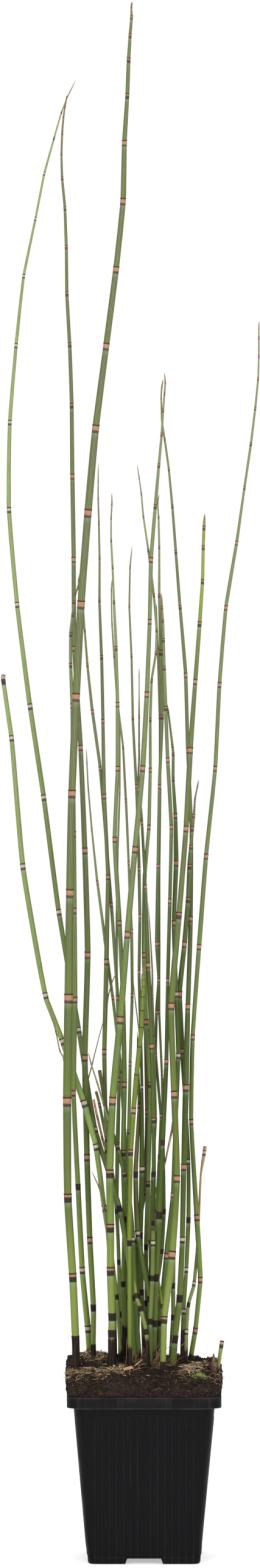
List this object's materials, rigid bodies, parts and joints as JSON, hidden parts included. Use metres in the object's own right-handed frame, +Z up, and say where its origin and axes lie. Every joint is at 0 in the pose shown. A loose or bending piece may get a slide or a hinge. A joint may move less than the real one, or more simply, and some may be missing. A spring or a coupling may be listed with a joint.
{
  "type": "horsetail plant",
  "caption": "Horsetail plant: slender upright jointed green stems standing in dark soil in a square black nursery pot with a stepped rim band, finely ribbed sides and a notched foot.",
  "frame": {"origin": "middle of the pot's base, on the surface it stands on", "axes": "+Z up along the pot; -Y is the front, the side that the plant is seen from"},
  "size_m": [0.186, 0.1424, 1.108],
  "materials": {
    "pot_plastic": "satin",
    "soil": "matte",
    "stem_green": "satin",
    "stem_pale": "satin",
    "stem_young": "satin",
    "stem_thin": "satin",
    "straw": "matte",
    "bud_scale": "matte"
  },
  "bodies": {
    "root": {"pot": "pot_plastic", "soil": "soil", "stalk_piece": "straw", "bud": "bud_scale", "stem_01": "stem_green", "stem_02": "stem_green", "stem_03": "stem_pale", "stem_04": "stem_green", "stem_05": "stem_green", "stem_06": "stem_young", "stem_07": "stem_green", "stem_08": "stem_green", "stem_09": "stem_green", "stem_10": "stem_pale", "stem_11": "stem_green", "stem_12": "stem_green", "stem_13": "stem_green", "stem_14": "stem_green", "stem_15": "stem_green", "stem_16": "stem_green", "stem_17": "stem_green", "stem_18": "stem_green", "stem_19": "stem_young", "stem_20": "stem_green", "stem_21": "stem_green", "stem_22": "stem_green", "stem_23": "stem_green", "stem_24": "stem_green", "stem_25": "stem_thin", "stem_26": "stem_green", "stem_27": "stem_green", "stem_28": "stem_green", "stem_29": "stem_green", "stem_30": "stem_green", "stem_31": "stem_green", "stem_32": "stem_pale", "stem_33": "straw", "stem_34": "stem_young", "stem_35": "straw", "stem_36": "straw", "stem_37": "stem_thin", "stem_38": "stem_thin", "stem_39": "stem_thin", "stem_40": "stem_thin", "stem_41": "stem_thin", "stem_42": "stem_thin", "stem_43": "stem_young"}
  },
  "joints": []
}
